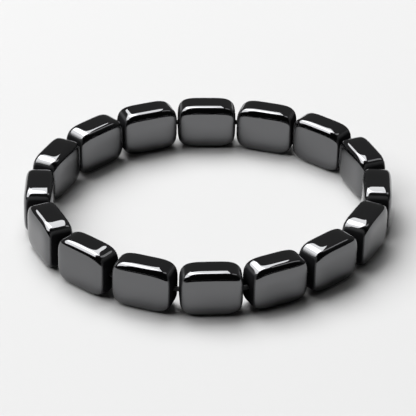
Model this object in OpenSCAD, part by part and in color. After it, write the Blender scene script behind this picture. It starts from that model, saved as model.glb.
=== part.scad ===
// Hematite bracelet: polished block beads strung end to end on a hidden elastic cord, lying on a
// flat surface. Units are millimetres and +Z is up. The origin is on the surface, in the middle of
// the ring. Bead 1 lies at the front, square to the Y axis, and the numbers run anticlockwise as
// seen from above.

/* [Beads] */
// Number of beads on the cord
bead_count = 16; // [14:1:20]
// Length of a bead along the cord
bead_length = 12.1; // [10:0.1:15]
// Thickness of a bead, from the wrist side to the outside
bead_thickness = 6.1; // [5:0.1:7]
// Height of a bead, which stands on its long narrow side
bead_height = 9.7; // [8:0.1:12]
// Squareness of the tumbled stone along its length, where 2 is as round as an ellipse
length_power = 5.6; // [2.6:0.2:6]
// Squareness of the tumbled stone across its thickness
thickness_power = 6; // [3:0.2:7]
// Squareness of the tumbled stone up its height
height_power = 4.2; // [3:0.2:6]
// Share of its half length that is ground off each end of the tumbled stone
end_grind = 0.02; // [0.01:0.01:0.12]
// Share of its half thickness that is ground off the front and the back
face_grind = 0.02; // [0.01:0.01:0.12]
// Share of its half height that is ground off the top and the bottom
top_grind = 0.02; // [0.02:0.01:0.1]

/* [Stringing] */
// Diameter of the hole along a bead
bore_diameter = 1.4; // [1.2:0.1:2]
// Diameter of the elastic cord
cord_diameter = 1; // [0.6:0.1:1]
// Free space between two neighbouring beads
play = 0.14; // [0.12:0.02:0.5]

/* [Ring] */
// Degrees by which the headings lead and lag where the ring is longer than wide
oval = 4; // [0:0.2:6]
// Degrees by which the long way of the oval is turned from the X axis
oval_turn = 18; // [-20:1:20]
// Degrees by which the headings lead and lag where the ring is pear-shaped
pear = 1.4; // [0:0.2:2]
// Share of the beads' own leans that is kept, from an even ring to the lying one
lean_share = 1; // [0:0.1:1]

/* [Detail] */
// Facet rows along the curved part of a bead
stone_rows = 10; // [8:2:16]
// Facets around a bead
stone_sides = 20; // [16:4:32]
// Facets around the cord
cord_sides = 10; // [8:1:16]

/* [Hidden] */
half_length = bead_length / 2;
half_thickness = bead_thickness / 2;
half_height = bead_height / 2;
stone_x = half_length * (1 + end_grind);
stone_y = half_thickness * (1 + face_grind);
stone_z = half_height * (1 + top_grind);
// The cord bends over this length on each side of a joint between two beads
bend_reach = 0.6;
bend_steps = 3;
hole_facets = 32;
outline_step = 0.5;
stone_color = [0.17, 0.17, 0.18];
cord_color = [0.05, 0.05, 0.05];

BEADS = [for (i = [0 : bead_count - 1]) str("bead_", i < 9 ? "0" : "", i + 1)];

// Degrees by which each bead lies turned away from the smooth ring
leans = [0, 2.5, -1.5, -0.5, 0, -1, 1.5, 0, -2, 0, 2, -0.5, -0.5, 0, 1.5, -1];

// Heading of a bead in degrees: even turns around the ring, the oval and the pear waves, and the
// bead's own lean
function phase(i) = 360 * i / bead_count;
function oval_wave(angle) = -oval * sin(2 * (angle - oval_turn));
function heading(i) =
    phase(i) + oval_wave(phase(i)) - oval_wave(0) + pear * sin(3 * phase(i))
        + lean_share * leans[i % len(leans)];
turns = [
    for (i = [0 : bead_count - 1])
        heading((i + 1) % bead_count) - heading(i) + (i == bead_count - 1 ? 360 : 0)
];

// The stone is a superellipsoid: the shares of its half sizes, each raised to its own power, add
// up to one on its surface
function spread(value, power) = sign(value) * pow(abs(value), 2 / power);

// How far a bead reaches from its middle, measured in plan in a direction off its own axis: the
// farthest point of its outline, which the grinding cuts straight at the ends and the faces
function reach(off_axis) = max([
    for (angle = [0 : outline_step : 90])
        min(stone_x * spread(sin(angle), length_power), half_length) * cos(off_axis)
            + min(stone_y * spread(cos(angle), thickness_power), half_thickness) * sin(off_axis)
]);

// Two neighbours touch in the plane halfway between their headings, so the turn from one to the
// next sets how far apart their middles are. Joint i lies between bead i - 1 and bead i.
function turn(i) = turns[(i + bead_count - 1) % bead_count];
function spacing(i) = 2 * reach(turn(i) / 2) / cos(turn(i) / 2) + play;

// The joints follow one another along the headings, less the drift that would leave the ring open
function direction(angle) = [cos(angle), sin(angle)];
function sum(list, upto) = upto == 0 ? [0, 0] : list[upto - 1] + sum(list, upto - 1);
steps = [
    for (i = [0 : bead_count - 1]) (spacing(i) + spacing(i + 1)) / 2 * direction(heading(i))
];
drift = sum(steps, bead_count) / bead_count;
loose_joints = [for (i = [0 : bead_count]) sum(steps, i) - i * drift];
ring_middle = sum(loose_joints, bead_count) / bead_count;
joints = [for (joint = loose_joints) joint - ring_middle];
// A bead's middle lies part of the way from its first joint to its second
function middle(i) =
    let(share = spacing(i) / (spacing(i) + spacing(i + 1)))
    joints[i] * (1 - share) + joints[i + 1] * share;

// The tumbled stone, with its poles on the cord's line
module tumbled_stone() {
    rows = [for (row = [1 : stone_rows - 1]) -90 + 180 * row / stone_rows];
    sides = [for (side = [0 : stone_sides - 1]) 360 * side / stone_sides];
    skin = [
        for (row = rows, side = sides)
            [stone_x * spread(sin(row), length_power),
             stone_y * spread(cos(row) * cos(side), thickness_power),
             stone_z * spread(cos(row) * sin(side), height_power)]
    ];
    last = len(skin);
    next = [for (side = [0 : stone_sides - 1]) (side + 1) % stone_sides];
    belts = [
        for (row = [0 : stone_rows - 3], side = [0 : stone_sides - 1])
            let(low = row * stone_sides, high = low + stone_sides)
            each [[low + side, high + side, high + next[side]],
                  [low + side, high + next[side], low + next[side]]]
    ];
    caps = [
        for (side = [0 : stone_sides - 1])
            let(top = last - stone_sides)
            each [[last, side, next[side]],
                  [last + 1, top + next[side], top + side]]
    ];
    polyhedron(concat(skin, [[-stone_x, 0, 0], [stone_x, 0, 0]]), concat(belts, caps), 6);
}

// One bead, lying along X with its middle at the origin
module loose_bead() {
    difference() {
        intersection() {
            tumbled_stone();
            cube([bead_length, bead_thickness, bead_height], center = true);
        }
        rotate([0, 90, 0])
            cylinder(h = bead_length + 2, d = bore_diameter, center = true, $fn = hole_facets);
    }
}

module bead(i) {
    color(stone_color)
        translate([middle(i)[0], middle(i)[1], half_height])
            rotate([0, 0, heading(i)])
                loose_bead();
}

// The cord runs straight through each bead and bends in the gap between two of them
module elastic_cord() {
    stations = [
        for (i = [0 : bead_count - 1], step = [0 : bend_steps])
            let(after = heading(i), before = after - turn(i), share = step / bend_steps,
                start = joints[i] - bend_reach * direction(before),
                end = joints[i] + bend_reach * direction(after),
                turned = before + share * turn(i))
            [(1 - share) * (1 - share) * start + 2 * share * (1 - share) * joints[i]
                + share * share * end,
             turned]
    ];
    skin = [
        for (station = stations, side = [0 : cord_sides - 1])
            let(angle = 360 * side / cord_sides,
                out = cord_diameter / 2 * cos(angle),
                up = cord_diameter / 2 * sin(angle),
                sideways = direction(station[1] - 90))
            [station[0][0] + out * sideways[0], station[0][1] + out * sideways[1],
             half_height + up]
    ];
    last = len(stations) * cord_sides;
    walls = [
        for (ring = [0 : len(stations) - 1], side = [0 : cord_sides - 1])
            let(low = ring * cord_sides, high = (low + cord_sides) % last,
                next = (side + 1) % cord_sides)
            each [[low + side, high + next, high + side],
                  [low + side, low + next, high + next]]
    ];
    color(cord_color) polyhedron(skin, walls, 6);
}

for (i = [0 : bead_count - 1])
    bead(i);
elastic_cord();
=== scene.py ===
# %% [markdown]
# # A hematite bracelet
# Sixteen polished block beads lie in a closed ring on a pale surface. The solids of the bracelet
# are the fixed frame. This lesson measures them, lays a smooth polished skin over each bead,
# gives the cord between them its finish, and lights the ring as a product photographer would.

# %% Load the frame
import math

import bpy
import numpy as np
from mathutils import Matrix, Vector


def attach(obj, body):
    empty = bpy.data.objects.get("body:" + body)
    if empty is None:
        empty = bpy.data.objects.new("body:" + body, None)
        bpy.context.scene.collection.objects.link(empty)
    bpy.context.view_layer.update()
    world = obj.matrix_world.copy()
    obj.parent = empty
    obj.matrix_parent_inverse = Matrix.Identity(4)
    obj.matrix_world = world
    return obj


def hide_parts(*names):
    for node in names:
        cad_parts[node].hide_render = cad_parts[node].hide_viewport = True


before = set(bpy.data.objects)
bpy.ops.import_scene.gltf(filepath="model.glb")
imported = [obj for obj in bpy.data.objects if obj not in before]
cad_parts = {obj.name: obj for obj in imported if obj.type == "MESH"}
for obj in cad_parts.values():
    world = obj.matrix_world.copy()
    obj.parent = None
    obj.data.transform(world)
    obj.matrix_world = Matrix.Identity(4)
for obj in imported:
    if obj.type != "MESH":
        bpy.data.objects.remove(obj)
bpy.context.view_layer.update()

MM = 0.001
bead_nodes = sorted(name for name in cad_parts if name.startswith("bead_"))
print("beads in the frame:", len(bead_nodes))

# %% [markdown]
# ## The camera
# The picture looks down on the ring at about a third of a right angle, from well back, so the
# far beads are only a little smaller than the near ones. A long lens on a distant camera gives
# that. The ring lies a little turned in the picture, so the camera stands a little to one side
# of the front bead and leans by a degree.

# %% Camera
CAMERA_ELEVATION = 31.84
CAMERA_AZIMUTH = -4.55
CAMERA_ROLL = 1.38
CAMERA_DISTANCE = 543.5 * MM
LENS = 230.3
SENSOR_WIDTH = 36.0
NEAREST, FARTHEST = 0.01, 20.0
AIM = Vector((0.33 * MM, 4.80 * MM, 0.0))


def direction(azimuth, elevation):
    """Unit vector: azimuth 0 points towards -Y and 90 towards +X, elevation is above the floor."""
    a, e = math.radians(azimuth), math.radians(elevation)
    return Vector((math.sin(a) * math.cos(e), -math.cos(a) * math.cos(e), math.sin(e)))


def turned_by(degrees):
    """The turn about an object's own Z axis."""
    return Matrix.Rotation(math.radians(degrees), 3, "Z").to_quaternion()


camera_data = bpy.data.cameras.new("camera")
camera_data.lens = LENS
camera_data.sensor_width = SENSOR_WIDTH
camera_data.clip_start = NEAREST
camera_data.clip_end = FARTHEST
camera = bpy.data.objects.new("camera", camera_data)
bpy.context.collection.objects.link(camera)
toward_camera = direction(CAMERA_AZIMUTH, CAMERA_ELEVATION)
camera.location = AIM + toward_camera * CAMERA_DISTANCE
camera.rotation_mode = "QUATERNION"
camera.rotation_quaternion = (-toward_camera).to_track_quat("-Z", "Y") @ turned_by(CAMERA_ROLL)
bpy.context.scene.camera = camera
print("camera stands at", [round(c, 3) for c in camera.location])

# %% [markdown]
# ## Reading the beads from the frame
# Each bead lies along its own heading. The frame gives a bead as loose triangles, so its heading
# is the direction in which its points spread the most in plan, and its middle is the middle of
# its box along that heading. Every corner of the triangles comes several times, so the points
# are rounded and each is counted once.

# %% Measure the beads
POINT_DECIMALS = 7


def node_points(node):
    """The node's points as an array with a row for each point."""
    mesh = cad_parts[node].data
    points = np.empty(len(mesh.vertices) * 3)
    mesh.vertices.foreach_get("co", points)
    return np.unique(points.reshape(-1, 3).round(POINT_DECIMALS), axis=0)


def measure(node):
    """Middle and heading of a bead: the heading is the direction of the largest eigenvector of
    its points' spread in plan, and the middle is the middle of its box along that heading. The
    heading runs anticlockwise round the ring, with the outside on its right."""
    points = node_points(node)
    flat = points[:, :2] - points[:, :2].mean(axis=0)
    _, eigenvectors = np.linalg.eigh(flat.T @ flat)
    along = eigenvectors[:, 1]
    outward = np.array([along[1], -along[0]])
    if outward @ points[:, :2].mean(axis=0) < 0:
        along, outward = -along, -outward
    axes = np.array([[along[0], along[1], 0], [-outward[0], -outward[1], 0], [0, 0, 1]])
    own = points @ axes.T
    middle = (own.max(axis=0) + own.min(axis=0)) / 2 @ axes
    return middle, math.atan2(along[1], along[0])


places = {node: measure(node) for node in bead_nodes}
for node, (middle, heading) in places.items():
    print(node, (middle / MM).round(2), round(math.degrees(heading), 1))

# %% [markdown]
# ## The bead's skin
# A real bead is sawn as a small block and tumbled with grit until no edge is left, so that it
# looks like a small pillow: its faces are nearly flat in the middle and run into the rounding
# without a crease. A superellipsoid has just that shape. It is a ball whose coordinates have
# powers of their own: a power of 2 is an ellipse, and the higher the power, the closer to a block.
# The reflections show the powers. They bend to an arch near the ends of a face, and stay nearly
# straight across its middle. The skin's powers are rounder than the solid's, which would open the
# joints, so the skin is a touch longer to make up for a part of that.

# %% Bead surface
BEAD_LENGTH = 12.1 * MM
BEAD_THICKNESS = 6.1 * MM
BEAD_HEIGHT = 9.7 * MM
SNUG = 0.1 * MM
HALF = np.array([BEAD_LENGTH + SNUG, BEAD_THICKNESS, BEAD_HEIGHT]) / 2
POWERS = np.array([4.6, 6.0, 4.0])
CROWDING = 0.7
FIRST_REACH = 0.9
NEWTON_STEPS = 20


def skin_points(row, side):
    """The superellipsoid |x/a|^p + |y/b|^q + |z/c|^r = 1 at a row angle along the bead and a side
    angle round it. The angles give a direction on a ball, and raising its shares to the crowding
    power moves the points towards the rounded edges. The point is that direction, in shares of
    the half sizes, times the reach that solves the equation, by Newton's method on its
    logarithm."""
    ball = np.stack([np.sin(row), np.cos(row) * np.cos(side), np.cos(row) * np.sin(side)], axis=-1)
    ray = np.sign(ball) * np.abs(ball) ** CROWDING
    reach = np.full(row.shape, FIRST_REACH)
    for _ in range(NEWTON_STEPS):
        terms = np.abs(ray * reach[..., None]) ** POWERS
        reach = reach * np.exp((1 - terms.sum(axis=-1)) / (terms * POWERS).sum(axis=-1))
    return ray * reach[..., None] * HALF


print("skin in mm, length by thickness by height:", (2 * HALF / MM).round(2))

# %% [markdown]
# ## Painted shade at the ends of a bead
# The ends of each bead are painted black and matt, as painted shade, so that the joints between
# neighbours look dark. A material can't know which way a bead lies, so the mesh tells it: each
# point carries a mask, named end, that is 1 where the skin faces along the bead and 0 where it
# faces sideways.

# %% End mask, painted shade of the joints
JOINT_SHADE_FROM, JOINT_SHADE_TO = 0.60, 0.90


# The mask paints shade: where it is 1, the skin is black and matt.
def joint_shade_mask(points):
    """How much each point faces along the bead. The normal is the equation's gradient, and its
    first share is carried from 0 to 1 between two limits."""
    shares = np.abs(points / HALF)
    normal = POWERS * shares ** (POWERS - 1) / HALF
    facing = normal[:, 0] / np.linalg.norm(normal, axis=1)
    return np.clip((facing - JOINT_SHADE_FROM) / (JOINT_SHADE_TO - JOINT_SHADE_FROM), 0, 1)


corner = HALF * (1 / 3) ** (1 / POWERS)
print("end mask on a corner, where the three terms are equal:", joint_shade_mask(corner[None]).round(2))

# %% [markdown]
# ## From points to a closed mesh
# The rows of points run over the outside from one mouth of the bore to the other and then back
# through the bore, where the last row joins the first. The skin is a tube that closes on itself,
# so it has no pole and no open edge. The mouths of the bore are a little wider than the bore,
# as drilled stone chips there.

# %% Bead mesh
BORE_RADIUS = 0.7 * MM
MOUTH_FLARE = 1.18
MOUTH_DEPTH = 0.12 * MM
MOUTH_ROW = 0.44
SIDES = 160
ROWS = 120


def bore_rings(end):
    """Rings round the bead's axis, from the mouth at +end through the bore to the one at -end.
    Each is a distance along the axis and a radius."""
    neck = end - MOUTH_DEPTH
    half_way = end * 0.5
    return [(end, BORE_RADIUS * MOUTH_FLARE), (neck, BORE_RADIUS), (half_way, BORE_RADIUS),
            (-half_way, BORE_RADIUS), (-neck, BORE_RADIUS), (-end, BORE_RADIUS * MOUTH_FLARE)]


def bead_grid():
    """The skin's points on a grid: the rows run along the outside and back through the bore, and
    the columns run round the bead."""
    around = np.linspace(0, 2 * np.pi, SIDES, endpoint=False) + np.pi / SIDES
    along = np.linspace(-MOUTH_ROW, MOUTH_ROW, ROWS) * np.pi
    outside = skin_points(*np.meshgrid(along, around, indexing="ij"))
    end = np.abs(outside[..., 0]).max()
    bore = np.array([
        np.stack([np.full(SIDES, x), radius * np.cos(around), radius * np.sin(around)], axis=-1)
        for x, radius in bore_rings(end)
    ])
    return np.concatenate([outside, bore])


def grid_faces(rows, sides):
    """Four-sided faces between neighbouring points of a grid that closes on itself both ways."""
    index = np.arange(rows * sides).reshape(rows, sides)
    down, across = np.roll(index, -1, axis=0), np.roll(index, -1, axis=1)
    corner = np.roll(down, -1, axis=1)
    return np.stack([index, across, corner, down], axis=-1).reshape(-1, 4)


def bead_mesh(name, middle, heading):
    """A bead's skin, turned to its heading and moved to its middle, with the end mask, which
    paints shade, on its points. All the bore counts as an end and is painted dark too."""
    grid = bead_grid()
    points = grid.reshape(-1, 3)
    c, s = math.cos(heading), math.sin(heading)
    placed = points @ np.array([[c, s, 0], [-s, c, 0], [0, 0, 1]]) + middle
    faces = grid_faces(len(grid), SIDES)
    mesh = bpy.data.meshes.new(name)
    mesh.from_pydata(placed.tolist(), [], faces.tolist())
    mesh.polygons.foreach_set("use_smooth", np.ones(len(faces), dtype=bool))
    mesh.update()
    mask = joint_shade_mask(points)
    # The bore is painted with shade too: black and matt all through.
    mask[ROWS * SIDES:] = 1.0
    mesh.attributes.new("end", "FLOAT", "POINT").data.foreach_set("value", mask)
    piece = bpy.data.objects.new(name, mesh)
    bpy.context.collection.objects.link(piece)
    return piece


beads = []
for node in bead_nodes:
    middle, heading = places[node]
    piece = bead_mesh("polished_" + node, middle, heading)
    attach(piece, "root")
    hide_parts(node)
    beads.append(piece)
print("faces a bead:", len(beads[0].data.polygons))

# %% [markdown]
# ## The faults in a polish
# Tumbling leaves two faults that a photo shows: the surface swells and dips by a hundredth of a
# millimetre or two over several millimetres, so that reflections waver, and the polish has a
# faint haze in places. Both come from noise in one node group, which the cord's material uses too,
# with values of its own.

# %% Polish group
HAZE_SCALE, HAZE_DETAIL = 450.0, 3.0
SWELL_SCALE, SWELL_DETAIL = 160.0, 0.0
GRAIN_SCALE, GRAIN_DETAIL = 4200.0, 2.0


def add_noise(tree, place, scale, detail):
    """A noise that reads Object coordinates, so that it stays put on the piece."""
    noise = tree.nodes.new("ShaderNodeTexNoise")
    noise.inputs["Scale"].default_value = scale
    noise.inputs["Detail"].default_value = detail
    tree.links.new(place.outputs["Object"], noise.inputs["Vector"])
    return noise


def add_sum(tree, value, factor, plus):
    """A value times a factor, plus a third value."""
    node = tree.nodes.new("ShaderNodeMath")
    node.operation = "MULTIPLY_ADD"
    for socket, source in zip(node.inputs, (value, factor, plus)):
        tree.links.new(source, socket)
    return node


def polish_group():
    """A node group: a cloudy noise varies a roughness, and a broad noise plus a share of a fine
    one gives a height."""
    group = bpy.data.node_groups.new("polish", "ShaderNodeTree")
    for name in ("Roughness", "Variation", "Grain"):
        group.interface.new_socket(name, in_out="INPUT", socket_type="NodeSocketFloat")
    for name in ("Roughness", "Height"):
        group.interface.new_socket(name, in_out="OUTPUT", socket_type="NodeSocketFloat")
    inputs = group.nodes.new("NodeGroupInput")
    outputs = group.nodes.new("NodeGroupOutput")
    place = group.nodes.new("ShaderNodeTexCoord")
    haze = add_noise(group, place, HAZE_SCALE, HAZE_DETAIL)
    swell = add_noise(group, place, SWELL_SCALE, SWELL_DETAIL)
    grain = add_noise(group, place, GRAIN_SCALE, GRAIN_DETAIL)
    rough = add_sum(group, haze.outputs["Fac"], inputs.outputs["Variation"],
                    inputs.outputs["Roughness"])
    height = add_sum(group, grain.outputs["Fac"], inputs.outputs["Grain"], swell.outputs["Fac"])
    group.links.new(rough.outputs[0], outputs.inputs["Roughness"])
    group.links.new(height.outputs[0], outputs.inputs["Height"])
    return group


def add_polish(material, group, roughness, variation, grain, depth):
    """Places the polish group in a material, with its height read by a Bump node."""
    nodes, links = material.node_tree.nodes, material.node_tree.links
    shader = nodes["Principled BSDF"]
    polish = nodes.new("ShaderNodeGroup")
    polish.node_tree = group
    polish.inputs["Roughness"].default_value = roughness
    polish.inputs["Variation"].default_value = variation
    polish.inputs["Grain"].default_value = grain
    bump = nodes.new("ShaderNodeBump")
    bump.inputs["Distance"].default_value = depth
    links.new(polish.outputs["Roughness"], shader.inputs["Roughness"])
    links.new(polish.outputs["Height"], bump.inputs["Height"])
    links.new(bump.outputs["Normal"], shader.inputs["Normal"])


polish = polish_group()
print("polish group's nodes:", len(polish.nodes))

# %% [markdown]
# ## Polished hematite
# Hematite is an iron ore that takes a mirror polish: nearly black, with the shine of gun metal.
# A metallic Principled BSDF with a dark base colour reflects that way, and the Fresnel effect
# brightens it towards the edges by itself. On the ends, the mask paints shade: the colour turns
# black and Metallic falls to 0, and because the specular level is 0 too, they stay matt.

# %% Hematite
GUN_METAL = (0.145, 0.146, 0.150, 1.0)
# BLACK is the cord's own colour and also the painted shade on the bead ends.
BLACK = (0.012, 0.012, 0.013, 1.0)

hematite = bpy.data.materials.new("hematite")
hematite.use_nodes = True
nodes, links = hematite.node_tree.nodes, hematite.node_tree.links
shader = nodes["Principled BSDF"]
shader.inputs["Specular IOR Level"].default_value = 0.0
add_polish(hematite, polish, roughness=0.01, variation=0.03, grain=0.001, depth=0.08 * MM)
# Painted shade: the end mask mixes the gun metal towards black and takes the metal away.
end = nodes.new("ShaderNodeAttribute")
end.attribute_name = "end"
joint_shade_mix = nodes.new("ShaderNodeMix")
joint_shade_mix.data_type = "RGBA"
joint_shade_mix.inputs["A"].default_value = GUN_METAL
joint_shade_mix.inputs["B"].default_value = BLACK
metal = nodes.new("ShaderNodeMath")
metal.operation = "SUBTRACT"
metal.inputs[0].default_value = 1.0
links.new(end.outputs["Fac"], joint_shade_mix.inputs["Factor"])
links.new(end.outputs["Fac"], metal.inputs[1])
links.new(joint_shade_mix.outputs["Result"], shader.inputs["Base Color"])
links.new(metal.outputs[0], shader.inputs["Metallic"])
for piece in beads:
    piece.data.materials.append(hematite)
print("beads with hematite:", len(beads))

# %% [markdown]
# ## The elastic cord
# On the real bracelet a stretchy cord runs through all the bores. Only the dark slits between
# the beads hint at it. The solid from the frame is already a smooth enough tube for something
# that thin, so it is kept as it is and only gets a finish: nearly black, matt and a little
# uneven, from the same node group as the beads' polish.

# %% Cord
elastic = bpy.data.materials.new("elastic")
elastic.use_nodes = True
elastic.node_tree.nodes["Principled BSDF"].inputs["Base Color"].default_value = BLACK
add_polish(elastic, polish, roughness=0.45, variation=0.2, grain=0.2, depth=0.05 * MM)
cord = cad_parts["elastic_cord"]
for slot in cord.material_slots:
    slot.material = elastic
print("cord material slots:", len(cord.material_slots))

# %% [markdown]
# ## The floor and the dark card
# The bracelet lies on plain matt paper, wide enough to fill the picture. Real product shots of
# dark shiny things often have a black card on the table, just outside the picture. Here only
# mirrored rays meet it, so it neither shows nor shades the paper: the sides of the beads reflect
# the pale paper up to the card's edge, and above that edge they turn black. That line is what
# makes the beads look solid and round.

# %% Floor and card
FLOOR_HALF = 1.2
FLOOR_SHADE = 0.58
CARD_HALF = 0.3
CARD_EDGE = -77 * MM
CARD_FRONT = -0.8
CARD_LEVEL = 0.1 * MM
CARD_SHADE = 0.01


def flat_sheet(name, left, right, front, back, level, shade):
    """A level rectangle between two x and two y values, with a matt grey material of its own."""
    mesh = bpy.data.meshes.new(name)
    corners = [(left, front, level), (right, front, level), (right, back, level), (left, back, level)]
    mesh.from_pydata(corners, [], [(0, 1, 2, 3)])
    material = bpy.data.materials.new(name)
    material.use_nodes = True
    shader = material.node_tree.nodes["Principled BSDF"]
    shader.inputs["Base Color"].default_value = (shade, shade, shade, 1.0)
    shader.inputs["Roughness"].default_value = 1.0
    shader.inputs["Specular IOR Level"].default_value = 0.0
    mesh.materials.append(material)
    sheet = bpy.data.objects.new(name, mesh)
    bpy.context.collection.objects.link(sheet)
    return sheet


flat_sheet("floor", -FLOOR_HALF, FLOOR_HALF, -FLOOR_HALF, FLOOR_HALF, 0.0, FLOOR_SHADE)
card = flat_sheet("dark_card", -CARD_HALF, CARD_HALF, CARD_FRONT, CARD_EDGE, CARD_LEVEL, CARD_SHADE)
card.visible_camera = False
card.visible_diffuse = False
card.visible_shadow = False
print("from the ring's middle to the card, in mm:", round(-CARD_EDGE / MM))

# %% [markdown]
# ## The lamps
# A black mirror has no look of its own: its highlights are pictures of the lamps. So the lamps
# are placed by what the beads show. A wide softbox high on the left and one behind the ring give the
# bright band along each bead's upper edge and the soft shadows in front. A narrow strip on the
# right gives the thin lines on the beads that face it.

# %% Lamps
def softbox(name, azimuth, elevation, distance, width, height, tilt, radiance):
    """An area light in a direction from the ring's middle, facing it and turned about that line.
    An area light's power is its radiance times its area times pi."""
    data = bpy.data.lights.new(name, "AREA")
    data.shape = "RECTANGLE"
    data.size = width
    data.size_y = height
    data.energy = radiance * math.pi * width * height
    lamp = bpy.data.objects.new(name, data)
    bpy.context.collection.objects.link(lamp)
    place = direction(azimuth, elevation)
    lamp.location = place * distance
    lamp.rotation_mode = "QUATERNION"
    lamp.rotation_quaternion = (-place).to_track_quat("-Z", "Y") @ turned_by(tilt)
    lamp.visible_camera = False


softbox("key", azimuth=-119, elevation=54, distance=2.0,
        width=2.62, height=1.64, tilt=-19, radiance=4.6)
softbox("back", azimuth=-168, elevation=60, distance=2.1,
        width=1.46, height=1.46, tilt=0, radiance=4.6)
softbox("right", azimuth=112, elevation=55, distance=2.0,
        width=0.5, height=0.9, tilt=0, radiance=1.0)

# %% [markdown]
# ## The room
# The rest of the room is a dim grey that darkens towards the camera, as a dark studio does. The
# camera itself sees a pale backdrop there, in case the floor doesn't fill the picture. The
# Standard view keeps the white paper white and the black stone black.

# %% Room
PAPER_WHITE = (0.89, 0.89, 0.89, 1.0)
FRONT, BACK = -0.3, 0.5
FRONT_DIM, BACK_DIM = 0.01, 0.11

bpy.context.scene.view_settings.view_transform = "Standard"
world = bpy.data.worlds.new("studio")
world.use_nodes = True
bpy.context.scene.world = world
nodes, links = world.node_tree.nodes, world.node_tree.links
room = nodes["Background"]
backdrop = nodes.new("ShaderNodeBackground")
backdrop.inputs["Color"].default_value = PAPER_WHITE
place = nodes.new("ShaderNodeTexCoord")
split = nodes.new("ShaderNodeSeparateXYZ")
ramp = nodes.new("ShaderNodeMapRange")
ramp.inputs["From Min"].default_value = FRONT
ramp.inputs["From Max"].default_value = BACK
ramp.inputs["To Min"].default_value = FRONT_DIM
ramp.inputs["To Max"].default_value = BACK_DIM
path = nodes.new("ShaderNodeLightPath")
choice = nodes.new("ShaderNodeMixShader")
links.new(place.outputs["Generated"], split.inputs["Vector"])
links.new(split.outputs["Y"], ramp.inputs["Value"])
links.new(ramp.outputs["Result"], room.inputs["Color"])
links.new(path.outputs["Is Camera Ray"], choice.inputs["Fac"])
links.new(room.outputs[0], choice.inputs[1])
links.new(backdrop.outputs[0], choice.inputs[2])
links.new(choice.outputs[0], nodes["World Output"].inputs["Surface"])
print("room grey from", FRONT_DIM, "at the front to", BACK_DIM, "at the back")
